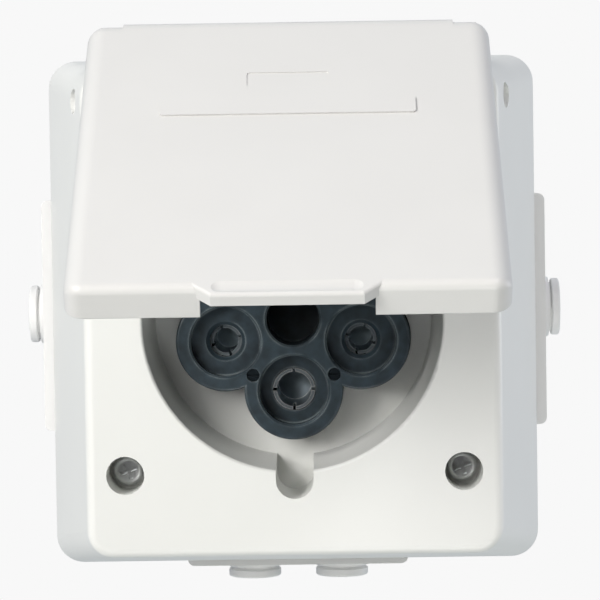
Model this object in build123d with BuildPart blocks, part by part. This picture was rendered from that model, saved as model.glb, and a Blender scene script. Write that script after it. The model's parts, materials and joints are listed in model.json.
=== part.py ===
from build123d import *
import math
import os

# Three-phase wall socket with a hinged lid.
# Millimetres. The wall is the XZ plane, the socket faces -Y and +Z is up.
# Plane.XZ looks out of the wall, so an offset of it is a distance from the wall.

# Hood and back box
rim_depth = 26.0
rim_width = 105.4
rim_height = 109.5
rim_corner = 6.0
plate_width = 85.8
plate_height = 100.5
plate_lift = 1.0
plate_corner = 5.6
plate_edge_radius = 2.0
cover_wall = 2.5
gasket_thickness = 1.0
gasket_inset = 0.4
box_step = 0.8
box_wall = 3.0
back_wall = 2.5
box_foot_chamfer = 0.6
inner_corner_less = 2.0

# Well, floor and keyway
well_drop = 0.75
well_radius = 31.0
well_floor_radius = 29.4
well_depth = 20.0
well_wall = 2.0
well_lip = 0.7
floor_thickness = 3.5
keyway_radius = 3.9
keyway_reach = 32.9
keyway_wall = 1.6

# Screws that hold the cover on the box
cover_screw_x = 35.1
cover_screw_z = 31.5
counterbore_radius = 3.95
counterbore_depth = 12.4
cover_boss_wall = 1.8
screw_head_radius = 3.15
screw_head_height = 2.4
screw_shank_radius = 1.9
screw_hole_radius = 2.2
screw_pilot_radius = 1.95
screw_head_edge = 1.0
screw_grip = 14.0
screw_tip_gap = 1.0
box_boss_radius = 4.6
cross_length = 3.6
cross_width = 0.8
cross_depth = 1.4
cross_angle = 20.0

# Wall fixing holes in the back wall
wall_hole_spacing = 84.0
wall_hole_radius = 2.25
wall_hole_pad = 5.0
wall_hole_pad_height = 1.5

# Entry pads and plugs
side_pad_length = 50.6
side_pad_height = 3.2
bottom_pad_length = 48.4
bottom_pad_height = 2.4
pad_front = 23.5
pad_back = 3.0
pad_corner = 1.5
entry_depth = 13.0
entry_radius = 5.0
entry_spacing = 19.4
stub_height = 1.2
stub_root_radius = 7.1
stub_tip_radius = 6.5
plug_disc_radius = 6.3
plug_disc_thickness = 1.8
plug_neck_radius = 5.4
plug_neck_height = 0.6
plug_stem_clearance = 0.1
plug_barb = 0.35
plug_barb_length = 1.6
plug_bore_radius = 3.4
plug_skin = 1.2
plug_edge = 0.5
bottom_plug_step = 0.5

# Hinge and lid
hinge_depth = 53.5
hinge_setback = 8.5
hinge_drop = 5.8
lid_open_angle = 55.0
lid_width = 83.0
lid_reach = 85.6
lid_skirt = 7.3
lid_gap = 0.3
lid_wall = 2.0
lid_corner = 3.8
lid_edge_radius = 1.7
lid_foot_radius = 0.4
lid_top_radius = 6.0
lid_top_start = 2.4
lid_shoulder_drop = 1.1
lid_middle_width = 68.0
swing_gap = 0.41
pin_radius = 2.6
pin_clearance = 0.05
pin_recess = 1.4
pin_chamfer = 0.3
ear_thickness = 4.2
ear_radius = 4.6
ear_inset = 3.1
ear_side_gap = 0.5
ear_swing_gap = 0.6
pocket_wall = 2.2
pocket_back = 6.6
pin_seat = 1.3

# Finger lip, strip and sunk panel on the lid
lip_reach = 2.4
lip_slant = 1.1
lip_tip_width = 28.2
lip_thickness = 2.7
lip_edge_radius = 0.7
lip_notch_width = 32.4
grip_radius = 3.4
grip_depth = 0.45
grip_setback = 2.3
grip_length = 24.6
strip_length = 50.7
strip_width = 5.2
strip_height = 0.4
strip_corner = 0.6
strip_place = 27.3
panel_length = 16.5
panel_width = 5.0
panel_sink = 0.2
panel_place = 17.1

# Seals
seal_edge_gap = 1.5
seal_top_gap = 10.3
seal_rib_width = 2.6
lid_seal_thickness = 2.2

# Contact carrier
lobe_count = 5
contact_circle = 15.0
lobe_radius = 10.4
web_radius = 16.2
carrier_stand = 10.0
carrier_gap = 0.15
floor_lobe_shift = 0.25
carrier_edge = 0.5
flange_radius = 28.6
flange_thickness = 3.0
carrier_gasket_inner = 26.6
carrier_gasket_outer = 28.4
centre_hole_radius = 5.6
centre_hole_depth = 15.0
bore_radius = 7.3
bore_depth = 3.5
bore_edge = 0.4
funnel_radius = 4.2
funnel_depth = 0.9
neck_length = 1.5

# Contacts
phase_pin_radius = 2.6
phase_sleeve_wall = 0.65
earth_pin_radius = 3.65
earth_sleeve_wall = 0.75
earth_bore_extra = 1.0
sleeve_clearance = 0.12
sleeve_sink = 2.1
earth_sleeve_rise = 0.4
pin_hole_depth = 19.0
slit_width = 0.6
slit_length = 9.0
spring_thickness = 0.8
spring_width = 2.4
spring_gap_angle = 40.0
spring_place = 3.5
spring_clearance = 0.3
spring_fit = 0.05
block_size = 8.0
block_length = 10.5
block_gap = 0.2
wire_hole_radius = 1.9
wire_hole_place = 4.6
wire_guide_extra = 0.3
terminal_screw_radius = 1.6
terminal_screw_length = 4.4
terminal_screw_stand = 1.0
terminal_thread_gap = 0.03
terminal_slot_width = 0.7
terminal_slot_depth = 0.8

# Terminal carrier and its screws
terminal_carrier_radius = 22.0
terminal_carrier_length = 16.5
valley_screw_circle = 14.5
valley_recess_radius = 1.35
valley_recess_depth = 1.5
valley_head_radius = 1.2
valley_head_height = 1.1
valley_shank_radius = 0.8
valley_screw_length = 26.0
small_screw_gap = 0.03
flange_screw_circle = 24.3
flange_screw_radius = 1.05
flange_head_radius = 1.9
flange_head_height = 1.3
flange_screw_bite = 2.8

# Derived places
plate_depth = hinge_depth + hinge_setback
hood_depth = plate_depth - rim_depth
plate_top = plate_height / 2 + plate_lift
hinge_height = plate_top - hinge_drop
swing_radius = math.hypot(hinge_setback, plate_top - hinge_height) + swing_gap
well_floor = plate_depth - well_depth
floor_back = well_floor - floor_thickness
well_z = -well_drop
box_front = rim_depth - gasket_thickness
box_width = rim_width - 2 * box_step
box_height = rim_height - 2 * box_step
box_corner = rim_corner - box_step
inner_width = box_width - 2 * box_wall
inner_height = box_height - 2 * box_wall
flange_front = floor_back - gasket_thickness
flange_back = flange_front - flange_thickness
carrier_face = well_floor + carrier_stand
bore_floor = carrier_face - bore_depth
neck_front = bore_floor - funnel_depth
phase_sleeve_radius = phase_pin_radius + phase_sleeve_wall
earth_sleeve_radius = earth_pin_radius + earth_sleeve_wall
earth_bore_floor = bore_floor - earth_bore_extra
phase_sleeve_front = neck_front - sleeve_sink
earth_sleeve_front = earth_bore_floor + earth_sleeve_rise
terminal_back = flange_back - terminal_carrier_length
screw_head_seat = plate_depth - counterbore_depth
screw_tip = rim_depth - screw_grip + screw_tip_gap
lid_face = plate_depth + lid_gap + lid_skirt - hinge_depth
lid_skirt_foot = plate_depth + lid_gap - hinge_depth
ear_centre_x = lid_width / 2 - ear_inset - ear_thickness / 2 + ear_side_gap
slot_width = ear_thickness + 2 * ear_side_gap
lid_hollow_reach = lid_reach - lid_wall
seal_rib_radius = (lid_hollow_reach - seal_edge_gap - seal_top_gap) / 2


def share(depth):
    """How far a depth is on the way from the rim to the plate."""
    return (depth - rim_depth) / hood_depth


def hood_width(depth):
    return rim_width + (plate_width - rim_width) * share(depth)


def hood_height(depth):
    return rim_height + (plate_height - rim_height) * share(depth)


def hood_lift(depth):
    return plate_lift * share(depth)


def hood_corner(depth):
    return rim_corner + (plate_corner - rim_corner) * share(depth)


def contact_turn(number):
    """Direction of a contact from the well's middle, clockwise from the earth at the bottom."""
    return -90 - number * 360 / lobe_count


def contact_place(number, shift=0):
    """Middle of a contact, or a place further out by the shift."""
    angle = math.radians(contact_turn(number))
    circle = contact_circle + shift
    return (circle * math.cos(angle), well_z + circle * math.sin(angle))


def valley_place(number, circle):
    """A place between two lobes, on a circle round the well."""
    angle = math.radians(contact_turn(number + 0.5))
    return (circle * math.cos(angle), well_z + circle * math.sin(angle))


cover_screw_places = [
    (side * cover_screw_x, well_z + level * cover_screw_z)
    for side in (-1, 1)
    for level in (-1, 1)
]
well_middle = (0, well_z)
valley_screw_numbers = range(0, lobe_count, 2)

# The closed lid stands upright on this plane, and opening it turns the plane.
# Its x runs across the lid, its y from the hinge away from the free edge,
# and its normal points out of the lid's face.
open_angle = math.radians(lid_open_angle)
hinge_point = (0, -hinge_depth, hinge_height)
lid_plane = Plane(
    origin=hinge_point,
    x_dir=(1, 0, 0),
    z_dir=(0, -math.cos(open_angle), math.sin(open_angle)),
)
lid_side = Plane(origin=hinge_point, x_dir=lid_plane.y_dir, z_dir=(1, 0, 0))


def lobed_outline(grow, shift):
    """The carrier's lobes, grown and moved outwards, for the sketch in hand."""
    with Locations(well_middle):
        Circle(web_radius + grow)
    for number in range(lobe_count):
        with Locations(contact_place(number, shift)):
            Circle(lobe_radius + grow)


def side_entry(side):
    """Outer face of a side pad at its cable entry."""
    return Plane(
        origin=(side * (box_width / 2 + side_pad_height), -entry_depth, well_z),
        x_dir=(0, -side, 0),
        z_dir=(side, 0, 0),
    )


def bottom_entry(side):
    """Outer face of the bottom pad at one of its two cable entries."""
    return Plane(
        origin=(side * entry_spacing / 2, -entry_depth, -box_height / 2 - bottom_pad_height),
        x_dir=(1, 0, 0),
        z_dir=(0, 0, -1),
    )


def entries(side):
    return ((side_entry(side), side_pad_height), (bottom_entry(side), bottom_pad_height))


def block_wire_plane(number):
    """A plane in a contact that looks out along its terminal's wire hole."""
    turn = math.radians(contact_turn(number))
    place = contact_place(number)
    return Plane(
        origin=(place[0], -terminal_back - wire_hole_place, place[1]),
        x_dir=(0, 1, 0),
        z_dir=(math.cos(turn), 0, math.sin(turn)),
    )


def turned_contact(number):
    """A contact's place in a sketch parallel to the wall, turned to face outwards."""
    return Location((*contact_place(number), 0), (0, 0, contact_turn(number)))


# Back box: an open moulded tray with pads for the cable entries
with BuildPart() as back_box:
    with BuildSketch(Plane.XZ):
        RectangleRounded(box_width, box_height, box_corner)
    extrude(amount=box_front)
    back_edges = back_box.faces().sort_by(Axis.Y)[-1].edges()
    chamfer(back_edges, length=box_foot_chamfer)
    with BuildSketch(Plane.XZ.offset(pad_back)):
        with Locations(well_middle):
            RectangleRounded(box_width + 2 * side_pad_height, side_pad_length, pad_corner)
        with Locations((0, -box_height / 2)):
            RectangleRounded(bottom_pad_length, 2 * bottom_pad_height, pad_corner)
    extrude(amount=pad_front - pad_back)
    # Short flared stubs that the entry plugs sit on
    for side in (-1, 1):
        for face_plane, smaller in ((side_entry(side), 0), (bottom_entry(side), bottom_plug_step)):
            with BuildSketch(face_plane):
                Circle(stub_root_radius - smaller)
            with BuildSketch(face_plane.offset(stub_height)):
                Circle(stub_tip_radius - smaller)
            loft()
    # The inside
    with BuildSketch(Plane.XZ.offset(back_wall)):
        RectangleRounded(inner_width, inner_height, box_corner - inner_corner_less)
    extrude(amount=box_front, mode=Mode.SUBTRACT)
    # Bosses for the cover screws and low pads round the wall holes
    with BuildSketch(Plane.XZ.offset(back_wall / 2)):
        with Locations(*cover_screw_places):
            Circle(box_boss_radius)
    extrude(amount=rim_depth - back_wall / 2)
    with BuildSketch(Plane.XZ.offset(back_wall / 2)):
        with GridLocations(wall_hole_spacing, wall_hole_spacing, 2, 2):
            Circle(wall_hole_pad)
    extrude(amount=back_wall / 2 + wall_hole_pad_height)
    with BuildSketch(Plane.XZ.offset(rim_depth - screw_grip)):
        with Locations(*cover_screw_places):
            Circle(screw_pilot_radius)
    extrude(amount=screw_grip, mode=Mode.SUBTRACT)
    with BuildSketch(Plane.XZ):
        with GridLocations(wall_hole_spacing, wall_hole_spacing, 2, 2):
            Circle(wall_hole_radius)
    extrude(amount=back_wall + wall_hole_pad_height, mode=Mode.SUBTRACT)
    # Entry holes through the pads
    for side in (-1, 1):
        for face_plane, pad_height in entries(side):
            with BuildSketch(face_plane.offset(-pad_height - box_wall)):
                Circle(entry_radius)
            extrude(amount=pad_height + box_wall + stub_height, mode=Mode.SUBTRACT)
back_box.part.label = "back_box"

# Cover gasket: a flat ring between the box's rim and the cover's
with BuildPart() as cover_gasket:
    with BuildSketch(Plane.XZ.offset(box_front)):
        RectangleRounded(
            box_width - 2 * gasket_inset,
            box_height - 2 * gasket_inset,
            box_corner - gasket_inset,
        )
        RectangleRounded(
            inner_width + 2 * gasket_inset,
            inner_height + 2 * gasket_inset,
            box_corner - inner_corner_less,
            mode=Mode.SUBTRACT,
        )
    extrude(amount=gasket_thickness)
cover_gasket.part.label = "cover_gasket"

# The space inside the hood, less the well, the bosses and the hinge pockets
with BuildPart() as hood_core:
    core_front = plate_depth - cover_wall
    for depth in (rim_depth, core_front):
        with BuildSketch(Plane.XZ.offset(depth)):
            with Locations((0, hood_lift(depth))):
                RectangleRounded(
                    hood_width(depth) - 2 * cover_wall,
                    hood_height(depth) - 2 * cover_wall,
                    hood_corner(depth) - inner_corner_less,
                )
    loft()
    with BuildSketch(Plane.XZ.offset(floor_back)):
        with Locations(well_middle):
            Circle(well_radius + well_wall)
        with Locations((0, well_z - keyway_reach)):
            Circle(keyway_radius + keyway_wall)
        with Locations((0, well_z - keyway_reach / 2)):
            Rectangle(2 * (keyway_radius + keyway_wall), keyway_reach)
    extrude(amount=plate_depth - floor_back, mode=Mode.SUBTRACT)
    with BuildSketch(Plane.XZ.offset(rim_depth)):
        with Locations(*cover_screw_places):
            Circle(counterbore_radius + cover_boss_wall)
    extrude(amount=hood_depth, mode=Mode.SUBTRACT)
    pocket_foot = hinge_height - ear_radius - ear_swing_gap - pocket_wall
    with BuildSketch(Plane.XZ.offset(hinge_depth - pocket_back - pocket_wall)):
        for side in (-1, 1):
            with Locations((side * (ear_centre_x - slot_width / 2 - pocket_wall), pocket_foot)):
                corner = (Align.MIN if side > 0 else Align.MAX, Align.MIN)
                Rectangle(rim_width, rim_height, align=corner)
    extrude(amount=hood_depth, mode=Mode.SUBTRACT)

# Front cover: the tapered hood with its plate, well and hinge cheeks
with BuildPart() as front_cover:
    for depth in (rim_depth, plate_depth):
        with BuildSketch(Plane.XZ.offset(depth)):
            with Locations((0, hood_lift(depth))):
                RectangleRounded(hood_width(depth), hood_height(depth), hood_corner(depth))
    loft()
    fillet(front_cover.faces().sort_by(Axis.Y)[0].edges(), radius=plate_edge_radius)
    add(hood_core.part, mode=Mode.SUBTRACT)
    # The well, a slightly drafted cup turned about its own axis
    well_axis = Axis((0, 0, well_z), (0, 1, 0))
    with BuildSketch(Plane.YZ):
        with BuildLine():
            lip_start = (-plate_depth, well_z + well_radius + well_lip)
            lip_end = (-plate_depth + well_lip, well_z + well_radius)
            Line((-well_floor, well_z), (-well_floor, well_z + well_floor_radius))
            Line((-well_floor, well_z + well_floor_radius), lip_end)
            RadiusArc(lip_end, lip_start, well_lip)
            Line(lip_start, (-plate_depth - well_lip, lip_start[1]))
            Line((-plate_depth - well_lip, lip_start[1]), (-plate_depth - well_lip, well_z))
            Line((-plate_depth - well_lip, well_z), (-well_floor, well_z))
        make_face()
    revolve(axis=well_axis, mode=Mode.SUBTRACT)
    with BuildSketch(Plane.XZ.offset(well_floor)):
        with Locations((0, well_z - keyway_reach)):
            Circle(keyway_radius)
        with Locations((0, well_z - keyway_reach)):
            Rectangle(2 * keyway_radius, keyway_reach / 3, align=(Align.CENTER, Align.MIN))
    extrude(amount=well_depth, mode=Mode.SUBTRACT)
    # The lobed opening in the well's floor
    with BuildSketch(Plane.XZ.offset(floor_back)):
        lobed_outline(carrier_gap, floor_lobe_shift)
    extrude(amount=floor_thickness, mode=Mode.SUBTRACT)
    with BuildSketch(Plane.XZ.offset(floor_back)):
        for number in range(lobe_count):
            with Locations(valley_place(number, flange_screw_circle)):
                Circle(flange_screw_radius + small_screw_gap)
    extrude(amount=flange_screw_bite, mode=Mode.SUBTRACT)
    # Counterbored holes for the cover screws
    with BuildSketch(Plane.XZ.offset(screw_head_seat)):
        with Locations(*cover_screw_places):
            Circle(counterbore_radius)
    extrude(amount=counterbore_depth, mode=Mode.SUBTRACT)
    with BuildSketch(Plane.XZ.offset(rim_depth)):
        with Locations(*cover_screw_places):
            Circle(screw_hole_radius)
    extrude(amount=hood_depth, mode=Mode.SUBTRACT)
    # Slots for the lid's ears, open at the front and at the top
    slot_foot = hinge_height - ear_radius - ear_swing_gap
    with BuildSketch(Plane.XZ.offset(hinge_depth - pocket_back)):
        for side in (-1, 1):
            with Locations((side * ear_centre_x, slot_foot)):
                Rectangle(slot_width, rim_height, align=(Align.CENTER, Align.MIN))
    extrude(amount=hood_depth, mode=Mode.SUBTRACT)
    # Pin holes from outside, through the cheek and into the pocket's inner wall
    pin_end = ear_centre_x - slot_width / 2 - pin_seat
    for side in (-1, 1):
        with BuildSketch(Plane.YZ.offset(side * pin_end)):
            with Locations((-hinge_depth, hinge_height)):
                Circle(pin_radius + pin_clearance)
        extrude(amount=side * (rim_width / 2 - pin_end), mode=Mode.SUBTRACT)
front_cover.part.label = "front_cover"

# Hinge pins, sunk a little below the cheeks' outer faces
pin_outer_end = hood_width(hinge_depth) / 2 - pin_recess


def hinge_pin(side):
    with BuildPart() as pin:
        with BuildSketch(Plane.YZ.offset(side * pin_end)):
            with Locations((-hinge_depth, hinge_height)):
                Circle(pin_radius)
        extrude(amount=side * (pin_outer_end - pin_end))
        chamfer(pin.faces().filter_by(Axis.X).edges(), length=pin_chamfer)
    return pin


hinge_pin_left = hinge_pin(-1)
hinge_pin_left.part.label = "hinge_pin_left"
hinge_pin_right = hinge_pin(1)
hinge_pin_right.part.label = "hinge_pin_right"


def lid_profile(start, top_drop, inset):
    """Side view of the lid from a place on its face to its rounded top."""
    face = lid_face - inset
    top_start = lid_top_start - top_drop
    radius = lid_top_radius - inset
    foot = lid_skirt_foot - inset
    top_end = top_start + radius
    with BuildSketch(lid_side) as profile:
        with BuildLine():
            Line((start, foot), (start, face))
            Line((start, face), (top_start, face))
            RadiusArc((top_start, face), (top_end, face - radius), radius)
            Line((top_end, face - radius), (top_end, foot))
            Line((top_end, foot), (start, foot))
        make_face()
    return profile.sketch


# The finger lip carries on past the lid's free edge, with slanted ends
with BuildPart() as finger_lip:
    lip_front = lid_reach + lip_reach
    lip_back = lid_reach - lid_edge_radius
    lip_back_width = lip_tip_width + 2 * lip_slant * (lip_front - lip_back)
    with BuildSketch(lid_plane.offset(lid_face - lip_thickness)):
        with BuildLine():
            Polyline(
                (-lip_back_width / 2, -lip_back),
                (-lip_tip_width / 2, -lip_front),
                (lip_tip_width / 2, -lip_front),
                (lip_back_width / 2, -lip_back),
                close=True,
            )
        make_face()
    extrude(amount=lip_thickness)
    lip_edges = finger_lip.faces().sort_by(Axis(hinge_point, lid_plane.z_dir))[-1].edges()
    fillet(lip_edges.sort_by(Axis(hinge_point, lid_plane.y_dir))[:-1], radius=lip_edge_radius)

# Lid: a shallow tray with a finger lip and two ears for the hinge pins
across = Axis(hinge_point, lid_plane.z_dir)
along = Axis(hinge_point, lid_plane.y_dir)
with BuildPart() as lid:
    extrude(lid_profile(-lid_reach, lid_shoulder_drop, 0), amount=lid_width / 2, both=True)
    fillet(lid.edges().filter_by(across), radius=lid_corner)
    # Every edge of the face is rounded but the top one, which runs into the rounded top
    face_edges = lid.faces().sort_by(across)[-1].edges()
    fillet(face_edges.sort_by(along)[:-1], radius=lid_edge_radius)
    foot_edges = lid.faces().sort_by(across)[0].edges()
    fillet(foot_edges.sort_by(along)[:-1], radius=lid_foot_radius)
    extrude(lid_profile(0, 0, 0), amount=lid_middle_width / 2, both=True)
    add(finger_lip.part)
    # The hollow underside
    inside = lid_profile(-lid_hollow_reach, lid_shoulder_drop, lid_wall)
    extrude(inside, amount=lid_width / 2 - lid_wall, both=True, mode=Mode.SUBTRACT)
    # The skirt is cut away under the finger lip
    with BuildSketch(lid_plane.offset(lid_skirt_foot)):
        with Locations((0, -lid_reach)):
            Rectangle(lip_notch_width, 2 * lid_wall)
    extrude(amount=lid_skirt - lip_thickness, mode=Mode.SUBTRACT)
    # A shallow hollow for the fingertip along the lip, with rounded ends
    grip_height = lid_face + grip_radius - grip_depth
    grip_middle = lid_plane.from_local_coords((0, grip_setback - lip_front, grip_height))
    grip_plane = Plane(origin=grip_middle, x_dir=lid_plane.y_dir, z_dir=(1, 0, 0))
    with Locations(grip_plane):
        Cylinder(grip_radius, grip_length, mode=Mode.SUBTRACT)
    with Locations(grip_plane.offset(-grip_length / 2), grip_plane.offset(grip_length / 2)):
        Sphere(grip_radius, mode=Mode.SUBTRACT)
    # Room for the cover's corner as the lid swings round it
    with BuildSketch(lid_side):
        Circle(swing_radius)
    extrude(amount=lid_width, both=True, mode=Mode.SUBTRACT)
    # Ears
    for side in (-1, 1):
        with BuildSketch(lid_side.offset(side * ear_centre_x - ear_thickness / 2)):
            Circle(ear_radius)
            Rectangle(2 * ear_radius, lid_face - lid_wall / 2, align=(Align.CENTER, Align.MIN))
        extrude(amount=ear_thickness)
    with BuildSketch(lid_side):
        Circle(pin_radius + pin_clearance)
    extrude(amount=lid_width, both=True, mode=Mode.SUBTRACT)
    # Raised strip and sunk panel on the face
    with BuildSketch(lid_plane.offset(lid_face)):
        with Locations((0, -strip_place)):
            RectangleRounded(strip_length, strip_width, strip_corner)
    extrude(amount=strip_height)
    with BuildSketch(lid_plane.offset(lid_face - panel_sink)):
        with Locations((0, -panel_place)):
            RectangleRounded(panel_length, panel_width, strip_corner)
    extrude(amount=panel_sink, mode=Mode.SUBTRACT)
    # Two ribs that hold the sealing ring
    seal_middle = (0, -seal_top_gap - seal_rib_radius)
    with BuildSketch(lid_plane.offset(lid_skirt_foot + lid_seal_thickness)):
        with Locations(seal_middle):
            Circle(seal_rib_radius)
            Circle(seal_rib_radius - seal_rib_width, mode=Mode.SUBTRACT)
    extrude(amount=lid_skirt - lid_seal_thickness - lid_wall / 2)
lid.part.label = "lid"

# Lid gasket: a flat ring on the rib, which meets the plate round the well
with BuildPart() as lid_gasket:
    with BuildSketch(lid_plane.offset(lid_skirt_foot)):
        with Locations(seal_middle):
            Circle(seal_rib_radius)
            Circle(seal_rib_radius - seal_rib_width, mode=Mode.SUBTRACT)
    extrude(amount=lid_seal_thickness)
lid_gasket.part.label = "lid_gasket"

# Contact carrier: the lobed insert that stands in the well
with BuildPart() as contact_carrier:
    with BuildSketch(Plane.XZ.offset(flange_front)):
        lobed_outline(0, 0)
    extrude(amount=carrier_face - flange_front)
    fillet(contact_carrier.faces().sort_by(Axis.Y)[0].edges(), radius=carrier_edge)
    with BuildSketch(Plane.XZ.offset(flange_back)):
        with Locations(well_middle):
            Circle(flange_radius)
    extrude(amount=flange_thickness)
    with BuildSketch(Plane.XZ.offset(carrier_face - centre_hole_depth)):
        with Locations(well_middle):
            Circle(centre_hole_radius)
    extrude(amount=centre_hole_depth, mode=Mode.SUBTRACT)
    for number in range(lobe_count):
        is_earth = number == 0
        sleeve_radius = earth_sleeve_radius if is_earth else phase_sleeve_radius
        floor = earth_bore_floor if is_earth else bore_floor
        cavity_front = floor - neck_length - (0 if is_earth else funnel_depth)
        cavity_radius = sleeve_radius + spring_thickness + spring_clearance
        with BuildSketch(Plane.XZ.offset(floor)):
            with Locations(contact_place(number)):
                Circle(bore_radius)
        extrude(amount=carrier_face - floor, mode=Mode.SUBTRACT)
        if not is_earth:
            with BuildSketch(Plane.XZ.offset(neck_front)):
                with Locations(contact_place(number)):
                    Circle(sleeve_radius + sleeve_clearance)
            with BuildSketch(Plane.XZ.offset(bore_floor)):
                with Locations(contact_place(number)):
                    Circle(funnel_radius)
            loft(mode=Mode.SUBTRACT)
        with BuildSketch(Plane.XZ.offset(flange_back)):
            with Locations(contact_place(number)):
                Circle(sleeve_radius + sleeve_clearance)
        extrude(amount=floor - flange_back, mode=Mode.SUBTRACT)
        with BuildSketch(Plane.XZ.offset(flange_back)):
            with Locations(contact_place(number)):
                Circle(cavity_radius)
        extrude(amount=cavity_front - flange_back, mode=Mode.SUBTRACT)
    mouth_edges = contact_carrier.faces().sort_by(Axis.Y)[0].inner_wires().edges()
    chamfer(mouth_edges, length=bore_edge)
    with BuildSketch(Plane.XZ.offset(carrier_face - valley_recess_depth)):
        for number in valley_screw_numbers:
            with Locations(valley_place(number, valley_screw_circle)):
                Circle(valley_recess_radius)
    extrude(amount=valley_recess_depth, mode=Mode.SUBTRACT)
    with BuildSketch(Plane.XZ.offset(flange_back)):
        for number in valley_screw_numbers:
            with Locations(valley_place(number, valley_screw_circle)):
                Circle(valley_shank_radius + small_screw_gap)
    extrude(amount=carrier_face - flange_back, mode=Mode.SUBTRACT)
    with BuildSketch(Plane.XZ.offset(flange_back)):
        for number in range(lobe_count):
            with Locations(valley_place(number, flange_screw_circle)):
                Circle(flange_screw_radius + small_screw_gap)
    extrude(amount=flange_thickness, mode=Mode.SUBTRACT)
contact_carrier.part.label = "contact_carrier"

# Carrier gasket between the flange and the well's floor
with BuildPart() as carrier_gasket:
    with BuildSketch(Plane.XZ.offset(flange_front)):
        with Locations(well_middle):
            Circle(carrier_gasket_outer)
            Circle(carrier_gasket_inner, mode=Mode.SUBTRACT)
    extrude(amount=gasket_thickness)
carrier_gasket.part.label = "carrier_gasket"

# Terminal carrier: the rear half, with a pocket for each terminal block
with BuildPart() as terminal_carrier:
    with BuildSketch(Plane.XZ.offset(terminal_back)):
        with Locations(well_middle):
            Circle(terminal_carrier_radius)
    extrude(amount=terminal_carrier_length)
    for number in range(lobe_count):
        sleeve_radius = phase_sleeve_radius if number else earth_sleeve_radius
        with BuildSketch(Plane.XZ.offset(terminal_back)):
            with Locations(turned_contact(number)):
                Rectangle(block_size + 2 * block_gap, block_size + 2 * block_gap)
        extrude(amount=block_length, mode=Mode.SUBTRACT)
        with BuildSketch(Plane.XZ.offset(terminal_back)):
            with Locations(contact_place(number)):
                Circle(sleeve_radius + sleeve_clearance)
        extrude(amount=terminal_carrier_length, mode=Mode.SUBTRACT)
        # The wire comes in from outside through the pocket's outer wall
        with BuildSketch(block_wire_plane(number)):
            Circle(wire_hole_radius + wire_guide_extra)
        extrude(amount=terminal_carrier_radius - contact_circle, mode=Mode.SUBTRACT)
    with BuildSketch(Plane.XZ.offset(terminal_back)):
        for number in valley_screw_numbers:
            with Locations(valley_place(number, valley_screw_circle)):
                Circle(valley_shank_radius + small_screw_gap)
    extrude(amount=terminal_carrier_length, mode=Mode.SUBTRACT)
terminal_carrier.part.label = "terminal_carrier"


def socket_contact(number):
    """A split brass sleeve with a square terminal block at its rear end."""
    is_earth = number == 0
    inner = earth_pin_radius if is_earth else phase_pin_radius
    outer = earth_sleeve_radius if is_earth else phase_sleeve_radius
    front = earth_sleeve_front if is_earth else phase_sleeve_front
    place = contact_place(number)
    with BuildPart() as contact:
        with BuildSketch(Plane.XZ.offset(terminal_back)):
            with Locations(turned_contact(number)):
                Rectangle(block_size, block_size)
        extrude(amount=block_length)
        with BuildSketch(Plane.XZ.offset(terminal_back + block_length / 2)):
            with Locations(place):
                Circle(outer)
        extrude(amount=front - terminal_back - block_length / 2)
        with BuildSketch(Plane.XZ.offset(front - pin_hole_depth)):
            with Locations(place):
                Circle(inner)
        extrude(amount=pin_hole_depth, mode=Mode.SUBTRACT)
        with BuildSketch(Plane.XZ.offset(front - slit_length)):
            with Locations(turned_contact(number)):
                Rectangle(3 * outer, slit_width)
                Rectangle(slit_width, 3 * outer)
        extrude(amount=slit_length, mode=Mode.SUBTRACT)
        with BuildSketch(block_wire_plane(number)):
            Circle(wire_hole_radius)
        extrude(amount=block_size, mode=Mode.SUBTRACT)
        with BuildSketch(Plane.XZ.offset(terminal_back)):
            with Locations(place):
                Circle(terminal_screw_radius + terminal_thread_gap)
        extrude(amount=wire_hole_place, mode=Mode.SUBTRACT)
    return contact


def spring_ring(number):
    """An open spring ring that holds the fingers of a split sleeve together."""
    is_earth = number == 0
    outer = earth_sleeve_radius if is_earth else phase_sleeve_radius
    floor = earth_bore_floor if is_earth else bore_floor - funnel_depth
    front = floor - neck_length - spring_place + spring_width
    gap = 2 * outer * math.sin(math.radians(spring_gap_angle / 2))
    with BuildPart() as ring:
        with BuildSketch(Plane.XZ.offset(front - spring_width)):
            with Locations(contact_place(number)):
                Circle(outer + spring_fit + spring_thickness)
                Circle(outer + spring_fit, mode=Mode.SUBTRACT)
                Rectangle(gap, 2 * outer, align=(Align.CENTER, Align.MAX), mode=Mode.SUBTRACT)
        extrude(amount=spring_width)
    return ring


contact_names = [
    "earth_contact",
    "phase_contact_1",
    "phase_contact_2",
    "phase_contact_3",
    "neutral_contact",
]
contacts = []
springs = []
for number, contact_name in enumerate(contact_names):
    contact = socket_contact(number)
    contact.part.label = contact_name
    contacts.append(contact)
    spring = spring_ring(number)
    spring.part.label = contact_name.replace("contact", "spring")
    springs.append(spring)

# Terminal screws: one slotted grub screw in each terminal block
with BuildPart() as terminal_screws:
    with BuildSketch(Plane.XZ.offset(terminal_back - terminal_screw_stand)):
        for number in range(lobe_count):
            with Locations(contact_place(number)):
                Circle(terminal_screw_radius)
    extrude(amount=terminal_screw_length)
    with BuildSketch(Plane.XZ.offset(terminal_back - terminal_screw_stand)):
        for number in range(lobe_count):
            with Locations(contact_place(number)):
                Rectangle(3 * terminal_screw_radius, terminal_slot_width)
    extrude(amount=terminal_slot_depth, mode=Mode.SUBTRACT)
terminal_screws.part.label = "terminal_screws"

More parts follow.
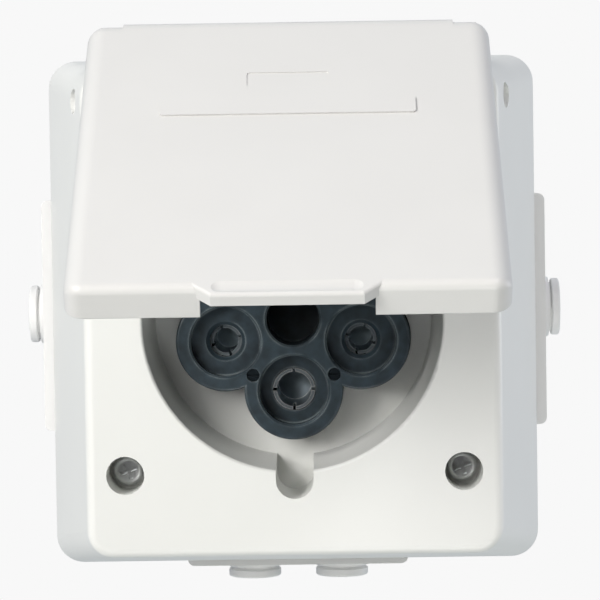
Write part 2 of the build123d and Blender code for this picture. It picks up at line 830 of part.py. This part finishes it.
# Cover screws: cross-head screws deep in the counterbores
with BuildPart() as cover_screws:
    with BuildSketch(Plane.XZ.offset(screw_head_seat)):
        with Locations(*cover_screw_places):
            Circle(screw_head_radius)
    extrude(amount=screw_head_height)
    fillet(cover_screws.faces().group_by(Axis.Y)[0].edges(), radius=screw_head_edge)
    with BuildSketch(Plane.XZ.offset(screw_tip)):
        with Locations(*cover_screw_places):
            Circle(screw_shank_radius)
    extrude(amount=screw_head_seat - screw_tip)
    with BuildSketch(Plane.XZ.offset(screw_head_seat + screw_head_height - cross_depth)):
        with Locations(*cover_screw_places):
            Rectangle(cross_length, cross_width, rotation=cross_angle)
            Rectangle(cross_width, cross_length, rotation=cross_angle)
    extrude(amount=cross_depth, mode=Mode.SUBTRACT)
cover_screws.part.label = "cover_screws"

# Carrier screws between the lobes join the two halves of the carrier
with BuildPart() as carrier_screws:
    head_seat = carrier_face - valley_recess_depth
    with BuildSketch(Plane.XZ.offset(head_seat)):
        for number in valley_screw_numbers:
            with Locations(valley_place(number, valley_screw_circle)):
                Circle(valley_head_radius)
    extrude(amount=valley_head_height)
    with BuildSketch(Plane.XZ.offset(head_seat - valley_screw_length)):
        for number in valley_screw_numbers:
            with Locations(valley_place(number, valley_screw_circle)):
                Circle(valley_shank_radius)
    extrude(amount=valley_screw_length)
    with BuildSketch(Plane.XZ.offset(head_seat + valley_head_height / 2)):
        for number in valley_screw_numbers:
            with Locations(valley_place(number, valley_screw_circle)):
                Rectangle(3 * valley_head_radius, valley_head_radius / 3)
    extrude(amount=valley_head_height, mode=Mode.SUBTRACT)
carrier_screws.part.label = "carrier_screws"

# Flange screws hold the carrier to the well's floor from behind
with BuildPart() as flange_screws:
    with BuildSketch(Plane.XZ.offset(flange_back - flange_head_height)):
        for number in range(lobe_count):
            with Locations(valley_place(number, flange_screw_circle)):
                Circle(flange_head_radius)
    extrude(amount=flange_head_height)
    with BuildSketch(Plane.XZ.offset(flange_back)):
        for number in range(lobe_count):
            with Locations(valley_place(number, flange_screw_circle)):
                Circle(flange_screw_radius)
    extrude(amount=floor_back + flange_screw_bite - flange_back)
flange_screws.part.label = "flange_screws"


def entry_plug(face_plane, pad_height, smaller):
    """A blind plug: a disc cap over the stub and a hollow barbed stem through the wall."""
    disc = plug_disc_radius - smaller
    cap_foot = stub_height + plug_neck_height
    cap_top = cap_foot + plug_disc_thickness
    stem = entry_radius - plug_stem_clearance
    inner_end = -(pad_height + box_wall)
    half_plane = Plane(
        origin=face_plane.origin,
        x_dir=face_plane.x_dir,
        z_dir=-face_plane.y_dir,
    )
    with BuildPart() as plug:
        with BuildSketch(half_plane):
            with BuildLine():
                Polyline(
                    (disc, cap_top - plug_edge),
                    (disc, cap_foot + plug_edge / 2),
                    (disc - plug_edge / 2, cap_foot),
                    (plug_neck_radius, cap_foot),
                    (plug_neck_radius, stub_height),
                    (stem, stub_height),
                    (stem, inner_end),
                    (entry_radius + plug_barb, inner_end),
                    (stem - plug_barb, inner_end - plug_barb_length),
                    (plug_bore_radius, inner_end - plug_barb_length),
                    (plug_bore_radius, cap_top - plug_skin),
                    (0, cap_top - plug_skin),
                    (0, cap_top),
                    (disc - plug_edge, cap_top),
                )
                RadiusArc((disc - plug_edge, cap_top), (disc, cap_top - plug_edge), plug_edge)
            make_face()
        revolve(axis=Axis(face_plane.origin, face_plane.z_dir))
    return plug


plugs = []
for side, side_name in ((-1, "left"), (1, "right")):
    side_plug = entry_plug(side_entry(side), side_pad_height, 0)
    side_plug.part.label = f"entry_plug_{side_name}"
    bottom_plug = entry_plug(bottom_entry(side), bottom_pad_height, bottom_plug_step)
    bottom_plug.part.label = f"entry_plug_bottom_{side_name}"
    plugs += [side_plug, bottom_plug]

os.makedirs("parts", exist_ok=True)
pieces = [
    back_box,
    cover_gasket,
    front_cover,
    hinge_pin_left,
    hinge_pin_right,
    lid,
    lid_gasket,
    contact_carrier,
    carrier_gasket,
    terminal_carrier,
    terminal_screws,
    cover_screws,
    carrier_screws,
    flange_screws,
]
for piece in pieces + contacts + springs + plugs:
    export_step(piece.part, f"parts/{piece.part.label}.step")
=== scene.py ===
import bpy
import json
import math
from mathutils import Matrix, Vector

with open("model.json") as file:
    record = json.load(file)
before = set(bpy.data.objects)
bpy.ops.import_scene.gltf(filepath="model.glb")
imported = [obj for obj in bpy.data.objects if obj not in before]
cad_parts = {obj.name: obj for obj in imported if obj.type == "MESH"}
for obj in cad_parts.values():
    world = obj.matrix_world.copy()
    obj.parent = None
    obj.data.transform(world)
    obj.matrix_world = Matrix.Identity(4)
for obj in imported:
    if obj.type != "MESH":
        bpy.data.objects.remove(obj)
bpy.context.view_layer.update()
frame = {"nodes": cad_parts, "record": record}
nodes = frame["nodes"]

# Camera: where it stands, how it is turned, and its focal length
CAMERA_PLACE = Vector((0.00723, -0.682, 0.03142))
CAMERA_YAW = math.radians(0.515)
CAMERA_TILT = math.radians(-2.563)
CAMERA_ROLL = math.radians(-0.873)
SENSOR_WIDTH = 36.0
FOCAL_LENGTH = 180.42
NEAREST_SEEN = 0.05

# Surroundings, in scene-linear values: white behind the socket, black in front of it
BACKGROUND_LEVEL = 0.939
BACK_COLOUR = (0.92, 1.0, 1.10)
BACK_LEVEL = 0.55
FRONT_COLOUR = (0.0, 0.0, 0.0)
BLEND_REACH = 0.25

# Lamps: name, place, side, watts and colour
LAMP_TARGET = Vector((0, -0.06, 0))
KEY_COLOUR = (1.0, 0.985, 0.967)
LAMPS = [
    ("key_high", (-0.75, -0.80, 0.65), 0.5, 8.2, KEY_COLOUR),
    ("key_side", (-0.80, -0.98, 0.25), 0.3, 5.4, KEY_COLOUR),
    ("key_middle", (-0.60, -1.05, 0.45), 0.3, 1.2, KEY_COLOUR),
    ("key_front", (-0.42, -1.18, 0.30), 0.5, 2.6, KEY_COLOUR),
    ("key_low", (-0.65, -0.95, -0.45), 0.5, 0.5, (1.0, 1.0, 1.0)),
    ("fill_high", (0.55, -0.75, 0.85), 0.3, 5.6, (1.0, 0.98, 1.0)),
    ("fill_low", (0.0, -1.00, -0.65), 0.5, 1.1, (0.97, 0.95, 1.04)),
    ("rim_low", (0.20, -0.75, -1.00), 0.6, 6.6, (0.97, 0.99, 0.94)),
    ("rim_side", (1.20, 0.30, 0.10), 0.6, 4.3, (0.96, 0.98, 1.04)),
]

# Noise scales are features per metre; a ramp's two levels are where it starts and ends
PLASTIC_IOR = 1.5
TONE_LEVELS = (0.3, 0.7)
TONE_DETAIL = 2.0
GRAIN_DETAIL = 3.0
PLASTIC_TONE_SCALE = 60
PLASTIC_GRAIN_SCALE = 2600
WHITE_SPREAD = 0.015
RUBBER_SPREAD = 0.1
METAL_TONE_SCALE = 700
METAL_GRAIN_SCALE = 5000
METAL_SPREAD = 0.12

# Black insert: faint mottling over a coarser grain
MOTTLE_SPREAD = 0.45
MOTTLE_SCALE = 420
INSERT_GRAIN_SCALE = 1400

# Painted highlights along edges: their width in metres, the cosine of the turn where the
# painted highlight starts and where it is full, and the patches of noise that they show in
INSERT_EDGE = 0.0008
INSERT_PATCHES = (0.36, 0.62)
CONTACT_EDGE = 0.0004
CONTACT_PATCHES = (0.2, 0.4)
EDGE_TURN = (0.995, 0.88)
EDGE_SAMPLES = 6
PATCH_SCALE = 160
PATCH_DETAIL = 4.0

# Plain mouldings: colour, roughness, grain depth in metres, spread of the tone
PLASTICS = {
    "white_cover": ((0.78, 0.785, 0.757), 0.42, 0.000006, WHITE_SPREAD),
    # The lid's white is set darker than the cover's, fitted to the lid's darker look under
    # these lamps: painted shade
    "white_lid": ((0.67, 0.665, 0.645), 0.40, 0.000005, WHITE_SPREAD),
    "white_box": ((0.80, 0.80, 0.79), 0.45, 0.000006, WHITE_SPREAD),
    "white_plug": ((0.82, 0.82, 0.81), 0.5, 0.000006, WHITE_SPREAD),
    "dark_rubber": ((0.05, 0.052, 0.055), 0.75, 0.000012, RUBBER_SPREAD),
    "grey_rubber": ((0.16, 0.165, 0.16), 0.75, 0.000012, RUBBER_SPREAD),
}
# Mottled mouldings with painted edge highlights: colour, colour of the painted edge highlight,
# roughness, grain depth in metres
MOTTLED_PLASTICS_WITH_EDGE_HIGHLIGHTS = {
    "black_insert": ((0.029, 0.046, 0.058), (0.20, 0.235, 0.245), 0.38, 0.000010),
}
# Contacts: colour, colour of the painted edge highlight, roughness, grain depth in metres
CONTACT_METALS = {
    "contact_brass": ((0.35, 0.41, 0.44), (0.62, 0.68, 0.70), 0.30, 0.000002),
    # The earth contact's copy, with a brighter painted highlight on its edges
    "bright_contact": ((0.38, 0.43, 0.46), (1.0, 1.0, 0.97), 0.30, 0.000002),
}
# Plain metals: colour, roughness, grain depth in metres
METALS = {
    "spring_steel": ((0.55, 0.56, 0.58), 0.3, 0.000002),
    "screw_steel": ((0.87, 0.89, 0.90), 0.29, 0.000009),
    "pin_steel": ((0.5, 0.51, 0.52), 0.35, 0.000003),
    "blackened_steel": ((0.045, 0.06, 0.07), 0.3, 0.000003),
}
# Nodes that differ from the finish of their slot
SPECIAL_FINISH = {"carrier_screws": "blackened_steel", "earth_contact": "bright_contact"}

# Sockets of Blender's colour mix node, which share their names
MIX_FIRST = 6
MIX_SECOND = 7
MIX_RESULT = 2


def make_camera():
    data = bpy.data.cameras.new("camera")
    data.sensor_width = SENSOR_WIDTH
    data.lens = FOCAL_LENGTH
    data.clip_start = NEAREST_SEEN
    camera = bpy.data.objects.new("camera", data)
    bpy.context.scene.collection.objects.link(camera)
    heading = Matrix.Rotation(CAMERA_YAW, 4, "Z")
    tilt = Matrix.Rotation(math.pi / 2 + CAMERA_TILT, 4, "X")
    roll = Matrix.Rotation(CAMERA_ROLL, 4, "Z")
    camera.matrix_world = Matrix.Translation(CAMERA_PLACE) @ heading @ tilt @ roll
    bpy.context.scene.camera = camera


def make_world():
    """A white backdrop for the camera, and a half-room that lights the sides from behind."""
    world = bpy.data.worlds.new("surroundings")
    bpy.context.scene.world = world
    world.use_nodes = True
    tree = world.node_tree
    tree.nodes.clear()
    output = tree.nodes.new("ShaderNodeOutputWorld")
    direction = tree.nodes.new("ShaderNodeTexCoord")
    split = tree.nodes.new("ShaderNodeSeparateXYZ")
    blend = tree.nodes.new("ShaderNodeMapRange")
    blend.interpolation_type = "SMOOTHSTEP"
    blend.inputs["From Min"].default_value = -BLEND_REACH
    blend.inputs["From Max"].default_value = BLEND_REACH
    levels = tree.nodes.new("ShaderNodeMix")
    levels.data_type = "RGBA"
    levels.inputs[MIX_FIRST].default_value = (*FRONT_COLOUR, 1)
    levels.inputs[MIX_SECOND].default_value = (*(c * BACK_LEVEL for c in BACK_COLOUR), 1)
    ambient = tree.nodes.new("ShaderNodeBackground")
    backdrop = tree.nodes.new("ShaderNodeBackground")
    backdrop.inputs["Color"].default_value = (BACKGROUND_LEVEL,) * 3 + (1,)
    rays = tree.nodes.new("ShaderNodeLightPath")
    mix = tree.nodes.new("ShaderNodeMixShader")
    tree.links.new(direction.outputs["Generated"], split.inputs[0])
    tree.links.new(split.outputs["Y"], blend.inputs["Value"])
    tree.links.new(blend.outputs["Result"], levels.inputs["Factor"])
    tree.links.new(levels.outputs[MIX_RESULT], ambient.inputs["Color"])
    tree.links.new(rays.outputs["Is Camera Ray"], mix.inputs["Fac"])
    tree.links.new(ambient.outputs[0], mix.inputs[1])
    tree.links.new(backdrop.outputs[0], mix.inputs[2])
    tree.links.new(mix.outputs[0], output.inputs["Surface"])


def make_lamp(name, place, side, power, colour):
    data = bpy.data.lights.new(name, "AREA")
    data.shape = "RECTANGLE"
    data.size, data.size_y = side, side
    data.energy = power
    data.color = colour
    lamp = bpy.data.objects.new(name, data)
    bpy.context.scene.collection.objects.link(lamp)
    turn = (LAMP_TARGET - Vector(place)).to_track_quat("-Z", "Y").to_matrix().to_4x4()
    lamp.matrix_world = Matrix.Translation(place) @ turn


def new_material(name):
    material = bpy.data.materials.new(name)
    material.use_nodes = True
    return material, material.node_tree, material.node_tree.nodes["Principled BSDF"]


def add_noise(tree, scale, detail):
    coordinates = tree.nodes.new("ShaderNodeTexCoord")
    noise = tree.nodes.new("ShaderNodeTexNoise")
    noise.inputs["Scale"].default_value = scale
    noise.inputs["Detail"].default_value = detail
    tree.links.new(coordinates.outputs["Object"], noise.inputs["Vector"])
    return noise.outputs["Fac"]


def add_ramp(tree, value, levels):
    """Turns a value into 0 to 1 between two levels."""
    ramp = tree.nodes.new("ShaderNodeMapRange")
    ramp.inputs["From Min"].default_value = levels[0]
    ramp.inputs["From Max"].default_value = levels[1]
    tree.links.new(value, ramp.inputs["Value"])
    return ramp.outputs["Result"]


def add_grain(tree, shader, scale, depth):
    """Fine grain in the surface, with its depth in metres."""
    bump = tree.nodes.new("ShaderNodeBump")
    bump.inputs["Distance"].default_value = depth
    bump.inputs["Strength"].default_value = 1.0
    tree.links.new(add_noise(tree, scale, GRAIN_DETAIL), bump.inputs["Height"])
    tree.links.new(bump.outputs["Normal"], shader.inputs["Normal"])


def vary_colour(tree, shader, colour, spread, scale):
    """Faint change of tone over the surface."""
    ramp = tree.nodes.new("ShaderNodeValToRGB")
    dark_end, full_end = ramp.color_ramp.elements
    dark_end.color = (*(c * (1 - spread) for c in colour), 1)
    full_end.color = (*colour, 1)
    dark_end.position, full_end.position = TONE_LEVELS
    tree.links.new(add_noise(tree, scale, TONE_DETAIL), ramp.inputs["Fac"])
    tree.links.new(ramp.outputs["Color"], shader.inputs["Base Color"])


def paint_edge_highlights(tree, shader, highlight_colour, reach, patch_levels):
    """Painted highlight: lightens the base colour along the edges, in noise patches, where a
    rounded normal leaves the true one.
    """
    tone = shader.inputs["Base Color"].links[0].from_socket
    patches = add_ramp(tree, add_noise(tree, PATCH_SCALE, PATCH_DETAIL), patch_levels)
    rounded = tree.nodes.new("ShaderNodeBevel")
    rounded.samples = EDGE_SAMPLES
    rounded.inputs["Radius"].default_value = reach
    surface = tree.nodes.new("ShaderNodeNewGeometry")
    turn = tree.nodes.new("ShaderNodeVectorMath")
    turn.operation = "DOT_PRODUCT"
    tree.links.new(rounded.outputs["Normal"], turn.inputs[0])
    tree.links.new(surface.outputs["Normal"], turn.inputs[1])
    highlight_amount = tree.nodes.new("ShaderNodeMath")
    highlight_amount.operation = "MULTIPLY"
    tree.links.new(add_ramp(tree, turn.outputs["Value"], EDGE_TURN), highlight_amount.inputs[0])
    tree.links.new(patches, highlight_amount.inputs[1])
    blend = tree.nodes.new("ShaderNodeMix")
    blend.data_type = "RGBA"
    blend.inputs[MIX_SECOND].default_value = (*highlight_colour, 1)
    tree.links.new(highlight_amount.outputs["Value"], blend.inputs["Factor"])
    tree.links.new(tone, blend.inputs[MIX_FIRST])
    tree.links.new(blend.outputs[MIX_RESULT], shader.inputs["Base Color"])


def plastic(name, colour, roughness, grain_depth, spread):
    material, tree, shader = new_material(name)
    vary_colour(tree, shader, colour, spread, PLASTIC_TONE_SCALE)
    add_grain(tree, shader, PLASTIC_GRAIN_SCALE, grain_depth)
    shader.inputs["Roughness"].default_value = roughness
    shader.inputs["IOR"].default_value = PLASTIC_IOR
    return material


def mottled_plastic_with_edge_highlights(name, colour, highlight_colour, roughness, grain_depth):
    """Dark moulding with a faint mottling, and painted highlights along its edges here and
    there.
    """
    material, tree, shader = new_material(name)
    vary_colour(tree, shader, colour, MOTTLE_SPREAD, MOTTLE_SCALE)
    # Painted highlight along the insert's edges, in patches
    paint_edge_highlights(tree, shader, highlight_colour, INSERT_EDGE, INSERT_PATCHES)
    add_grain(tree, shader, INSERT_GRAIN_SCALE, grain_depth)
    shader.inputs["Roughness"].default_value = roughness
    shader.inputs["IOR"].default_value = PLASTIC_IOR
    return material


def metal(name, colour, roughness, grain_depth):
    material, tree, shader = new_material(name)
    vary_colour(tree, shader, colour, METAL_SPREAD, METAL_TONE_SCALE)
    add_grain(tree, shader, METAL_GRAIN_SCALE, grain_depth)
    shader.inputs["Metallic"].default_value = 1.0
    shader.inputs["Roughness"].default_value = roughness
    return material


def contact_metal(name, colour, highlight_colour, roughness, grain_depth):
    """Dulled metal with painted highlights along its edges."""
    material = metal(name, colour, roughness, grain_depth)
    tree = material.node_tree
    # Painted highlight along the contact's edges
    paint_edge_highlights(tree, tree.nodes["Principled BSDF"], highlight_colour, CONTACT_EDGE, CONTACT_PATCHES)
    return material


def make_materials():
    kinds = [
        (plastic, PLASTICS),
        (mottled_plastic_with_edge_highlights, MOTTLED_PLASTICS_WITH_EDGE_HIGHLIGHTS),
        (contact_metal, CONTACT_METALS),
        (metal, METALS),
    ]
    return {name: make(name, *look) for make, looks in kinds for name, look in looks.items()}


def dress_nodes(materials):
    """Every node takes the finish of its slot in the record, or its own special one."""
    for subpart in frame["record"]["subparts"]:
        node = nodes[subpart["node"]]
        finish = SPECIAL_FINISH.get(subpart["node"], subpart["material_slot"])
        node.data.materials.clear()
        node.data.materials.append(materials[finish])


make_camera()
make_world()
for lamp in LAMPS:
    make_lamp(*lamp)
dress_nodes(make_materials())
bpy.context.scene.view_settings.view_transform = "Standard"
